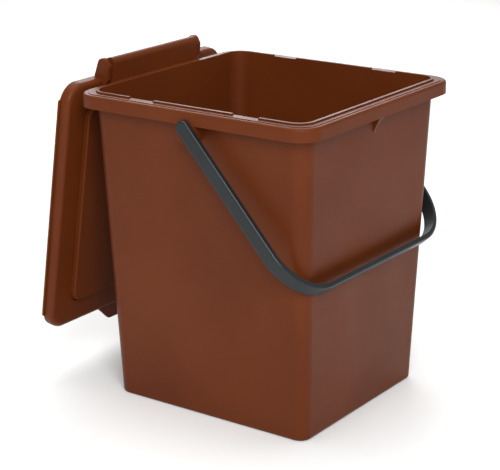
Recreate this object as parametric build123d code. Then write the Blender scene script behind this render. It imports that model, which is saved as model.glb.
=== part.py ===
from build123d import *
import os

# Food-waste caddy: a tapered tub, a lid hung on its back rim and a U-shaped carrying handle.
# Millimetres. +Z is up, the front faces -Y, the lid hinges at the back (+Y).
# The origin is the centre of the tub's underside. Everything is mirrored about X = 0.
# Modelled with the lid hanging open behind the tub and the handle down against the front wall.

# Tub
TUB_HEIGHT = 280.0                       # underside to the top of the rim's ledge
BASE_X, BASE_Y, BASE_R = 91.5, 100.7, 10.6    # half sizes and corner radius at the floor
MOUTH_X, MOUTH_Y, MOUTH_R = 107.7, 110.1, 15.2    # the wall's outside at rim height
WALL = 2.0
FLOOR = 2.6
BASE_EDGE = 3.0                          # rounding where the walls meet the underside

# Rim: a flange around the mouth with a skirt turned down at its outer edge
RIM_X, RIM_Y, RIM_R = 118.1, 120.5, 21.4
SKIRT = 11.9                             # depth of the turned-down skirt
RIM_T = 2.0                              # thickness of flange and skirt
RIM_EDGE = 2.4                           # rounding of the skirt's top edge
LEDGE_STEP_IN = 4.6                      # shallow step in from the rim's edge
LEDGE_STEP = 0.5
LIP_X, LIP_Y = 108.5, 110.9              # outside of the raised lip around the mouth
LIP_HEIGHT = 1.3
LIP_GAP_Y, LIP_GAP = 53.5, 26.0          # two breaks in the lip on each side

# Hinge: a bar on the back rim holds the stubs of the lid's ears
HINGE_Y, HINGE_Z = 126.3, 292.0
BAR_X = 60.5                             # half length of the bar
BAR_T = 9.6                              # thickness, and diameter of its round top
BAR_TOP = 300.0
BAR_SHELL = 2.8
BAR_END = 14.0                           # solid stretch at each end of the bar
BAR_SLOT = 2.6                           # width of the slot that hollows the middle of the bar
EAR_X, EAR_T = 62.9, 4.2                 # inner face and thickness of each ear
EYE_R = 3.7                              # round end of the ear about the hinge line
HEEL_R, HEEL_BACK, HEEL_DROP = 5.3, 2.1, 3.6    # fuller curve behind the eye
EAR_RISE = 5.6                           # ear over the lid's margin, where it leaves the skirt
STUB_R, STUB_LENGTH = 2.5, 11.0
FIT = 0.05                               # radial clearance of a stub in its bore
GAP = 0.45                               # air between pieces that don't touch
OVERLAP = 1.0                            # how far joined and cutting shapes run into each other
LID_REACH = 40.0                         # stretch of hanging lid that is beside the bar
FAR = 400.0                              # well beyond any surface, for cutting blocks

# Lid, dimensioned closed
LID_X = 111.5                            # half width
LID_BACK, LID_FRONT = 115.7, -119.5
LID_R = 18.0
LID_T = 1.8
LID_Z = TUB_HEIGHT + 0.3                 # free edge of the skirt, just over the ledge
LID_DEPTH = 10.2                         # free edge to the margin
SHOULDER = 4.5                           # rounding between skirt and margin
MARGIN = 24.8                            # width of the margin around the raised panel
PANEL_RISE = 4.5
PANEL_R = 9.0
PANEL_EDGE = 1.2                         # rounding of the panel's top edge
GROOVE, GROOVE_DEPTH = 2.4, 1.2          # groove at the foot of the raised panel
FLANGE, FLANGE_T = 2.0, 1.7              # bead along the free edge of the side skirts
FLANGE_HALF = 104.0
TAB_ROOT, TAB_TIP, TAB_REACH = 43.0, 25.0, 14.0
TAB_T = 2.5
TAB_DROP = 1.5                           # tab's top face below the margin
TAB_R, TAB_EDGE = 6.0, 0.8               # corner radius, rounding of the top edge
LID_HANG = 8.5                           # slope of the hanging lid from the vertical
LID_TURN = 270.0 - LID_HANG              # closed to hanging

# Handle
PIVOT_Z = 266.0
ARM_X = 118.6                            # inside face of each arm
BAND_T, BAND_W = 4.5, 13.0
BAND_EDGE = 2.0                          # rounding of the band's outer edges
HANDLE_REACH = 169.0                     # pivot to the inside face of the crossbar
HANDLE_R = 41.2                          # inside bend between arm and crossbar
HANDLE_DROP = 48.1                       # below the horizontal
PIN_R, PIN_LENGTH = 3.5, 8.6
PIN_END_GAP = 0.9                        # bore deeper than the pin is long

# Handle lugs on the tub's sides
LUG_HALF, LUG_BOTTOM, LUG_R = 9.5, 251.0, 8.0
LUG_X = RIM_X - 0.1
BOSS_R = 7.0

# Gusset under the middle of the front rim
GUSSET_BOTTOM = 240.0
GUSSET_FLARE, GUSSET_HALF = 5.5, 1.3
GUSSET_FLARE_HEIGHT = 9.0
GUSSET_DEPTH = 4.2                       # stands off the wall below the flare
GUSSET_WAIST = 1.0                       # hollow of the flare's curve

TILT = Pos(0, HINGE_Y, HINGE_Z) * Rot(-LID_TURN, 0, 0) * Pos(0, -HINGE_Y, -HINGE_Z)
LID_Y = (LID_BACK + LID_FRONT) / 2
LID_HALF_Y = (LID_BACK - LID_FRONT) / 2
LID_TOP = LID_Z + LID_DEPTH
SIDES = (-1, 1)


def slab(half_x, half_y, radius, z_low, z_high, y=0.0):
    """A straight block with a rounded-rectangle outline."""
    outline = Pos(0, y, z_low) * RectangleRounded(2 * half_x, 2 * half_y, radius)
    return extrude(outline, amount=z_high - z_low)


def wall_at(z, inset):
    """Half sizes and corner radius of the tapered wall at one height, moved in by inset."""
    share = z / TUB_HEIGHT
    half_x = BASE_X + (MOUTH_X - BASE_X) * share - inset
    half_y = BASE_Y + (MOUTH_Y - BASE_Y) * share - inset
    return half_x, half_y, BASE_R + (MOUTH_R - BASE_R) * share - inset


def tapered(z_low, z_high, inset):
    """The tub's tapered body between two heights."""
    sections = []
    for z in (z_low, z_high):
        half_x, half_y, radius = wall_at(z, inset)
        sections.append(Pos(0, 0, z) * RectangleRounded(2 * half_x, 2 * half_y, radius))
    return loft(sections)


def edges_at(shape, z):
    """The edges that lie flat at one height."""
    return shape.edges().filter_by_position(Axis.Z, z - 0.01, z + 0.01)


def across(sketch, x_low, x_high):
    """A YZ outline extruded from one X to another."""
    return Pos(x_low, 0, 0) * extrude(sketch, amount=x_high - x_low, dir=(1, 0, 0))


def rod(radius, x_low, x_high, y, z):
    """A round bar along X."""
    bar = Rot(0, 90, 0) * Cylinder(radius, abs(x_high - x_low))
    return Pos((x_low + x_high) / 2, y, z) * bar


def block(x_low, x_high, y_low, y_high, z_low, z_high):
    """A box from its limits."""
    size = (x_high - x_low, y_high - y_low, z_high - z_low)
    centre = ((x_low + x_high) / 2, (y_low + y_high) / 2, (z_low + z_high) / 2)
    return Pos(*centre) * Box(*size)


def rim():
    """Flange, skirt, shallow step and broken lip, with the mouth still filled in."""
    skirt_bottom = TUB_HEIGHT - SKIRT
    step_z = TUB_HEIGHT - LEDGE_STEP
    cap = slab(RIM_X, RIM_Y, RIM_R, skirt_bottom, step_z)
    cap = fillet(edges_at(cap, step_z), RIM_EDGE)
    hollow = slab(RIM_X - RIM_T, RIM_Y - RIM_T, RIM_R - RIM_T,
                  skirt_bottom - OVERLAP, step_z - RIM_T)
    inset = LEDGE_STEP_IN
    ledge = slab(RIM_X - inset, RIM_Y - inset, RIM_R - inset, step_z - OVERLAP, TUB_HEIGHT)
    lip_r = MOUTH_R + LIP_X - MOUTH_X
    lip = slab(LIP_X, LIP_Y, lip_r, TUB_HEIGHT - OVERLAP, TUB_HEIGHT + LIP_HEIGHT)
    for y in (-LIP_GAP_Y, LIP_GAP_Y):
        half = LIP_GAP / 2
        lip -= block(-RIM_X, RIM_X, y - half, y + half, TUB_HEIGHT, TUB_HEIGHT + 2 * LIP_HEIGHT)
    return cap - hollow + ledge + lip


def hinge_bar():
    """Round-topped bar on the back rim, hollow from below, with a blind bore in each end."""
    skirt_bottom = TUB_HEIGHT - SKIRT
    round_z = BAR_TOP - BAR_T / 2
    front = HINGE_Y - BAR_T / 2
    back = HINGE_Y + BAR_T / 2
    bar = block(-BAR_X, BAR_X, front, back, skirt_bottom, round_z)
    bar += rod(BAR_T / 2, -BAR_X, BAR_X, HINGE_Y, round_z)
    bar += block(-BAR_X, BAR_X, RIM_Y - RIM_EDGE, front + OVERLAP, skirt_bottom,
                 TUB_HEIGHT - LEDGE_STEP)
    inner = BAR_X - BAR_END
    slot = front + BAR_SHELL
    bar -= block(-inner, inner, slot, slot + BAR_SLOT, skirt_bottom - OVERLAP, round_z)
    for side in SIDES:
        bore_x = sorted((side * (BAR_X + OVERLAP), side * (EAR_X - STUB_LENGTH - OVERLAP)))
        bar -= rod(STUB_R + FIT, *bore_x, HINGE_Y, HINGE_Z)
    return bar - TILT * lid_clearance()


def lid_clearance():
    """The space, closed, that the lid's back corner needs beside the bar when it hangs."""
    half = EAR_X + EAR_T
    back = LID_BACK + GAP
    return block(-half, half, back - LID_REACH, back, LID_TOP - LID_REACH, LID_TOP + GAP)


def handle_lug(side):
    """Hollow tongue under the side of the rim with the boss for the handle's pin."""
    top = TUB_HEIGHT - RIM_T
    centre_z = (top + LUG_BOTTOM) / 2
    wall_x = wall_at(LUG_BOTTOM, WALL / 2)[0]
    outline = RectangleRounded(2 * LUG_HALF, top - LUG_BOTTOM + LUG_R, LUG_R)
    inner = RectangleRounded(2 * (LUG_HALF - WALL), top - LUG_BOTTOM + LUG_R, LUG_R - WALL)
    tongue = extrude(Plane.YZ * outline, amount=LUG_X - wall_x)
    pocket = extrude(Plane.YZ * inner, amount=LUG_X - wall_x - WALL)
    lug = Pos(0, 0, centre_z + LUG_R / 2) * tongue
    lug -= Pos(0, 0, centre_z + LUG_R / 2 + WALL) * pocket
    lug = Pos(wall_x, 0, 0) * lug
    lug += rod(BOSS_R, wall_x, LUG_X, 0, PIVOT_Z)
    lug -= block(wall_x - OVERLAP, LUG_X + OVERLAP, -2 * LUG_HALF, 2 * LUG_HALF, top, FAR)
    return lug if side > 0 else mirror(lug, about=Plane.YZ)


def gusset():
    """Small web under the front rim: flared at the top, running out down the wall."""
    top = TUB_HEIGHT - RIM_T
    skirt_bottom = TUB_HEIGHT - SKIRT
    neck_z = skirt_bottom - GUSSET_FLARE_HEIGHT
    edge = -RIM_Y + RIM_T
    root = -wall_at(GUSSET_BOTTOM, WALL / 2)[1]
    with BuildSketch(Plane.YZ) as side_view:
        with BuildLine():
            Polyline((root, GUSSET_BOTTOM), (root, top), (edge, top), (edge, skirt_bottom))
            ThreePointArc((edge, skirt_bottom), (root - GUSSET_DEPTH, neck_z), (root, GUSSET_BOTTOM))
        make_face()
    with BuildSketch(Plane.XZ) as front_view:
        with BuildLine():
            Polyline((-GUSSET_FLARE, skirt_bottom), (-GUSSET_FLARE, top), (GUSSET_FLARE, top),
                     (GUSSET_FLARE, skirt_bottom))
            bend = (GUSSET_FLARE + GUSSET_HALF) / 2 - GUSSET_WAIST
            shoulder_z = (skirt_bottom + neck_z) / 2
            ThreePointArc((GUSSET_FLARE, skirt_bottom), (bend, shoulder_z), (GUSSET_HALF, neck_z))
            Polyline((GUSSET_HALF, neck_z), (GUSSET_HALF, GUSSET_BOTTOM),
                     (-GUSSET_HALF, GUSSET_BOTTOM), (-GUSSET_HALF, neck_z))
            ThreePointArc((-GUSSET_HALF, neck_z), (-bend, shoulder_z), (-GUSSET_FLARE, skirt_bottom))
        make_face()
    web = extrude(side_view.sketch, amount=GUSSET_FLARE, both=True)
    return web & extrude(front_view.sketch, amount=2 * RIM_Y)


def tub():
    """The whole tub moulding."""
    body = tapered(0, TUB_HEIGHT - LEDGE_STEP, 0)
    body = fillet(edges_at(body, 0), BASE_EDGE)
    body += rim()
    body += hinge_bar()
    body += gusset()
    for side in SIDES:
        body += handle_lug(side)
    for side in SIDES:
        bore_x = sorted((side * (ARM_X - PIN_LENGTH - PIN_END_GAP), side * (RIM_X + OVERLAP)))
        body -= rod(PIN_R + FIT, *bore_x, 0, PIVOT_Z)
    body -= tapered(FLOOR, TUB_HEIGHT + 2 * LIP_HEIGHT, WALL)
    return body


def lid_cap():
    """The lid's shell: skirt, rounded shoulder, grooved margin and raised panel."""
    half_x, half_y = LID_X - MARGIN, LID_HALF_Y - MARGIN
    panel_top = LID_TOP + PANEL_RISE
    shell = slab(LID_X, LID_HALF_Y, LID_R, LID_Z, LID_TOP, LID_Y)
    shell = fillet(edges_at(shell, LID_TOP), SHOULDER)
    shell -= slab(half_x + GROOVE, half_y + GROOVE, PANEL_R + GROOVE, LID_TOP - GROOVE_DEPTH,
                  LID_TOP + OVERLAP, LID_Y)
    panel = slab(half_x, half_y, PANEL_R, LID_TOP - LID_T, panel_top, LID_Y)
    shell += fillet(edges_at(panel, panel_top), PANEL_EDGE)
    cavity = slab(LID_X - LID_T, LID_HALF_Y - LID_T, LID_R - LID_T, LID_Z - OVERLAP,
                  LID_TOP - LID_T, LID_Y)
    cavity = fillet(edges_at(cavity, LID_TOP - LID_T), SHOULDER - LID_T)
    bead = GROOVE + LID_T
    cavity -= slab(half_x + bead, half_y + bead, PANEL_R + bead, LID_TOP - LID_T - GROOVE_DEPTH,
                   LID_TOP, LID_Y)
    cavity += slab(half_x - LID_T, half_y - LID_T, PANEL_R - LID_T, LID_Z, panel_top - LID_T, LID_Y)
    return shell - cavity


def side_flange(side):
    """Bead along the free edge of one side skirt."""
    bead = slab(FLANGE + OVERLAP, FLANGE_HALF, FLANGE, LID_Z, LID_Z + FLANGE_T, LID_Y)
    bead = Pos(side * (LID_X - OVERLAP), 0, 0) * bead
    inside = LID_X - LID_T / 2
    return bead - block(-inside, inside, -FAR, FAR, LID_Z - OVERLAP, FAR)


def finger_tab():
    """Tapered tab that stands out of the middle of the front edge."""
    root = LID_FRONT + LID_T
    tip = LID_FRONT - TAB_REACH
    outline = Polygon((-TAB_ROOT, root), (-TAB_TIP, tip), (TAB_TIP, tip), (TAB_ROOT, root),
                      align=None)
    outline = fillet(outline.vertices().group_by(Axis.Y)[0], TAB_R)
    top = LID_TOP - TAB_DROP
    tab = extrude(Pos(0, 0, top - TAB_T) * outline, amount=TAB_T)
    return fillet(edges_at(tab, top), TAB_EDGE)


def ear(side):
    """Hinge ear behind the lid's back skirt, with the stub that enters the bar."""
    eye = Pos(HINGE_Y, HINGE_Z) * Circle(EYE_R)
    heel = Pos(HINGE_Y + HEEL_BACK, HINGE_Z - HEEL_DROP) * Circle(HEEL_R)
    root = LID_BACK - LID_T / 2
    crest = (LID_BACK, LID_TOP + EAR_RISE)
    foot = Polygon((root, LID_Z), (root, LID_TOP), crest, (HINGE_Y, HINGE_Z), align=None)
    skin = LID_TOP - LID_T / 2
    brace = Polygon((LID_BACK - MARGIN / 2, skin), crest, (LID_BACK, LID_TOP - SHOULDER),
                    (LID_BACK - SHOULDER, skin), align=None)
    outline = make_hull(eye.edges() + heel.edges() + foot.edges()) + brace
    plate = across(Plane.YZ * outline, EAR_X, EAR_X + EAR_T)
    plate += rod(STUB_R, EAR_X - STUB_LENGTH, EAR_X + OVERLAP, HINGE_Y, HINGE_Z)
    return plate if side > 0 else mirror(plate, about=Plane.YZ)


def lid():
    """The whole lid moulding, hung open behind the tub."""
    shape = lid_cap() + finger_tab()
    for side in SIDES:
        shape += side_flange(side)
        shape += ear(side)
    return TILT * shape


def band_outline(offset):
    """The filled U that runs to one offset from the band's inside face, open at the pivots."""
    end = -BAND_W
    half = BAND_W / 2
    return slab(ARM_X + offset, HANDLE_REACH + offset - end, HANDLE_R + offset, -half, half, end)


def handle():
    """The U-shaped band with round arm ends and a pin inside each, lowered to the front."""
    half = BAND_W / 2
    outside = band_outline(BAND_T)
    outside = fillet(edges_at(outside, half) + edges_at(outside, -half), BAND_EDGE)
    shape = outside - band_outline(0)
    shape -= block(-FAR, FAR, -FAR, 0, -BAND_W, BAND_W)
    for side in SIDES:
        face_x = side * (ARM_X + BAND_T)
        arm_end = rod(half, *sorted((side * ARM_X, face_x)), 0, 0)
        rim_edge = arm_end.edges().filter_by_position(Axis.X, face_x - 0.01, face_x + 0.01)
        shape += fillet(rim_edge, BAND_EDGE)
        shape += rod(PIN_R, *sorted((side * (ARM_X - PIN_LENGTH), side * (ARM_X + OVERLAP))), 0, 0)
    return Pos(0, 0, PIVOT_Z) * Rot(180 + HANDLE_DROP, 0, 0) * shape


os.makedirs("parts", exist_ok=True)
export_step(tub(), "parts/tub.step")
export_step(lid(), "parts/lid.step")
export_step(handle(), "parts/handle.step")
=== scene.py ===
import math

import bpy
from mathutils import Matrix, Vector


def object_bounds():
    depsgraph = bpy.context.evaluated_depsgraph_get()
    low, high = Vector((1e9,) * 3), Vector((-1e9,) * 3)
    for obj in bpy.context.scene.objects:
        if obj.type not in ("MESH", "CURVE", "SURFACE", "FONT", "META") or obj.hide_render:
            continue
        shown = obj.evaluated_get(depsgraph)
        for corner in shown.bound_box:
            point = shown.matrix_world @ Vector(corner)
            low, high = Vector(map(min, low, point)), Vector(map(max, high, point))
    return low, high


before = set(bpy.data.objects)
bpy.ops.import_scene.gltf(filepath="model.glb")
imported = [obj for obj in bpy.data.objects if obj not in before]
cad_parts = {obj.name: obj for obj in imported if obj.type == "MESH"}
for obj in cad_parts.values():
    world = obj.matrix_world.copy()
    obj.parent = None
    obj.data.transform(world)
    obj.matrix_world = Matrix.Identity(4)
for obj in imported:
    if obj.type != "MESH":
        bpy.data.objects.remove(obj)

cad_low, cad_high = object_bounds()

# Camera: degrees round from the front and up, metres away, the point it faces, mm of lens
CAMERA_AZIMUTH, CAMERA_ELEVATION, CAMERA_ROLL = -54.6, 17.7, -0.3
CAMERA_DISTANCE = 1.488
CAMERA_TARGET = Vector((0.0039, 0.0218, 0.1380))
CAMERA_LENS, CAMERA_SENSOR = 118.4, 36.0
CAMERA_FAR = 50.0

# Plastics: linear colour and its deeper tone, then roughness and specular level
BROWN, BROWN_DEEP = (0.114, 0.0245, 0.0048), (0.096, 0.0195, 0.0038)
BROWN_ROUGHNESS, BROWN_SPECULAR = 0.38, 0.12
SLATE, SLATE_DEEP = (0.012, 0.016, 0.018), (0.008, 0.010, 0.011)
SLATE_ROUGHNESS, SLATE_SPECULAR = 0.36, 0.32

# Patterns in the plastics: cycles per metre, how far roughness strays, heights in metres
TONE_SCALE, GLOSS_SCALE, WAVE_SCALE, SKIN_SCALE = 9.0, 26.0, 14.0, 1400.0
GLOSSIER, DULLER = 0.05, 0.06
WAVE_HEIGHT, WAVE_STRENGTH = 0.004, 0.12
SKIN_HEIGHT, SKIN_STRENGTH = 0.00006, 0.35

# Studio
FLOOR_COLOUR = (0.90, 0.90, 0.89)
FLOOR_ROUGHNESS, FLOOR_SPECULAR = 0.85, 0.1
FLOOR_SIZE = 24.0
SURROUND_COLOUR, SURROUND_STRENGTH = (1.0, 1.0, 1.0, 1.0), 0.45
# Each softbox: name, place and side in metres, power in watts
SOFTBOXES = (("key", (-1.5, -1.2, 1.3), 1.1, 40.0),
             ("overhead", (0.1, 0.2, 2.2), 1.8, 30.0),
             ("back", (1.5, 1.3, 1.0), 1.2, 14.0))


def new_material(name):
    """An empty node material with its Principled shader and object coordinates."""
    material = bpy.data.materials.new(name)
    material.use_nodes = True
    nodes = material.node_tree.nodes
    shader = nodes["Principled BSDF"]
    place = nodes.new("ShaderNodeTexCoord").outputs["Object"]
    return material, shader, place


def noise(material, place, scale, detail=3.0, roughness=0.5):
    """A noise pattern that runs 0 to 1; scale is in cycles per metre."""
    node = material.node_tree.nodes.new("ShaderNodeTexNoise")
    node.inputs["Scale"].default_value = scale
    node.inputs["Detail"].default_value = detail
    node.inputs["Roughness"].default_value = roughness
    material.node_tree.links.new(place, node.inputs["Vector"])
    return node.outputs["Fac"]


def spread(material, value, low, high, to_low, to_high):
    """Maps the stretch low to high of a pattern onto to_low to to_high."""
    node = material.node_tree.nodes.new("ShaderNodeMapRange")
    for name, number in (("From Min", low), ("From Max", high),
                         ("To Min", to_low), ("To Max", to_high)):
        node.inputs[name].default_value = number
    material.node_tree.links.new(value, node.inputs["Value"])
    return node.outputs["Result"]


def blend_colours(material, share, first, second):
    """Mixes two colours by a pattern."""
    node = material.node_tree.nodes.new("ShaderNodeMix")
    node.data_type = "RGBA"
    node.inputs["A"].default_value = (*first, 1.0)
    node.inputs["B"].default_value = (*second, 1.0)
    material.node_tree.links.new(share, node.inputs["Factor"])
    return node.outputs["Result"]


def bump(material, height, distance, strength, below=None):
    """A bump from a height pattern, laid over another one if it is given."""
    node = material.node_tree.nodes.new("ShaderNodeBump")
    node.inputs["Distance"].default_value = distance
    node.inputs["Strength"].default_value = strength
    material.node_tree.links.new(height, node.inputs["Height"])
    if below is not None:
        material.node_tree.links.new(below, node.inputs["Normal"])
    return node.outputs["Normal"]


def moulded_plastic(name, colour, deep, roughness, specular):
    """Moulded plastic: faint flow-tone, uneven gloss, a fine skin texture and slow waves."""
    material, shader, place = new_material(name)
    links = material.node_tree.links
    tone = spread(material, noise(material, place, TONE_SCALE, 4.0), 0.35, 0.65, 0.0, 1.0)
    links.new(blend_colours(material, tone, colour, deep), shader.inputs["Base Color"])
    gloss = noise(material, place, GLOSS_SCALE, 5.0, 0.6)
    links.new(spread(material, gloss, 0.3, 0.7, roughness - GLOSSIER, roughness + DULLER),
              shader.inputs["Roughness"])
    waves = bump(material, noise(material, place, WAVE_SCALE, 1.0), WAVE_HEIGHT, WAVE_STRENGTH)
    skin = bump(material, noise(material, place, SKIN_SCALE, 2.0), SKIN_HEIGHT, SKIN_STRENGTH,
                waves)
    links.new(skin, shader.inputs["Normal"])
    shader.inputs["Specular IOR Level"].default_value = specular
    return material


def paint(node, material):
    """Gives a CAD node its finished material."""
    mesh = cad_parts[node].data
    mesh.materials.clear()
    mesh.materials.append(material)


def paint_caddy():
    """Brown tub and lid, dark slate handle."""
    brown = (BROWN, BROWN_DEEP, BROWN_ROUGHNESS, BROWN_SPECULAR)
    slate = (SLATE, SLATE_DEEP, SLATE_ROUGHNESS, SLATE_SPECULAR)
    paint("tub", moulded_plastic("brown_tub", *brown))
    paint("lid", moulded_plastic("brown_lid", *brown))
    paint("handle", moulded_plastic("slate_handle", *slate))


def add_floor():
    """Plain pale floor."""
    bpy.ops.mesh.primitive_plane_add(size=FLOOR_SIZE, location=(0, 0, cad_low.z))
    floor = bpy.context.object
    floor.name = "floor"
    material, shader, _ = new_material("pale_floor")
    shader.inputs["Base Color"].default_value = (*FLOOR_COLOUR, 1.0)
    shader.inputs["Roughness"].default_value = FLOOR_ROUGHNESS
    shader.inputs["Specular IOR Level"].default_value = FLOOR_SPECULAR
    floor.data.materials.append(material)


def add_softbox(name, place, size, power):
    """A square area light aimed at the middle of the caddy."""
    data = bpy.data.lights.new(name, "AREA")
    data.shape = "SQUARE"
    data.size = size
    data.energy = power
    light = bpy.data.objects.new(name, data)
    light.location = place
    aim = CAMERA_TARGET - Vector(place)
    light.rotation_euler = aim.to_track_quat("-Z", "Y").to_euler()
    bpy.context.scene.collection.objects.link(light)


def add_world():
    """Even pale surroundings."""
    world = bpy.data.worlds.new("studio")
    world.use_nodes = True
    surround = world.node_tree.nodes["Background"]
    surround.inputs["Color"].default_value = SURROUND_COLOUR
    surround.inputs["Strength"].default_value = SURROUND_STRENGTH
    bpy.context.scene.world = world


def add_camera():
    """The camera, level but for a slight roll, in front of the caddy and to its left."""
    azimuth, elevation, roll = map(math.radians, (CAMERA_AZIMUTH, CAMERA_ELEVATION, CAMERA_ROLL))
    back = Vector((math.sin(azimuth) * math.cos(elevation),
                   -math.cos(azimuth) * math.cos(elevation), math.sin(elevation)))
    right = Vector((0, 0, 1)).cross(back).normalized()
    up = back.cross(right)
    turn = Matrix.Rotation(roll, 3, back)
    right, up = turn @ right, turn @ up
    data = bpy.data.cameras.new("camera")
    data.lens = CAMERA_LENS
    data.sensor_width = CAMERA_SENSOR
    data.clip_end = CAMERA_FAR
    camera = bpy.data.objects.new("camera", data)
    bpy.context.scene.collection.objects.link(camera)
    axes = Matrix((right, up, back)).transposed().to_4x4()
    camera.matrix_world = Matrix.Translation(CAMERA_TARGET + back * CAMERA_DISTANCE) @ axes
    bpy.context.scene.camera = camera


paint_caddy()
add_floor()
add_world()
for softbox in SOFTBOXES:
    add_softbox(*softbox)
add_camera()
bpy.context.scene.view_settings.view_transform = "Standard"
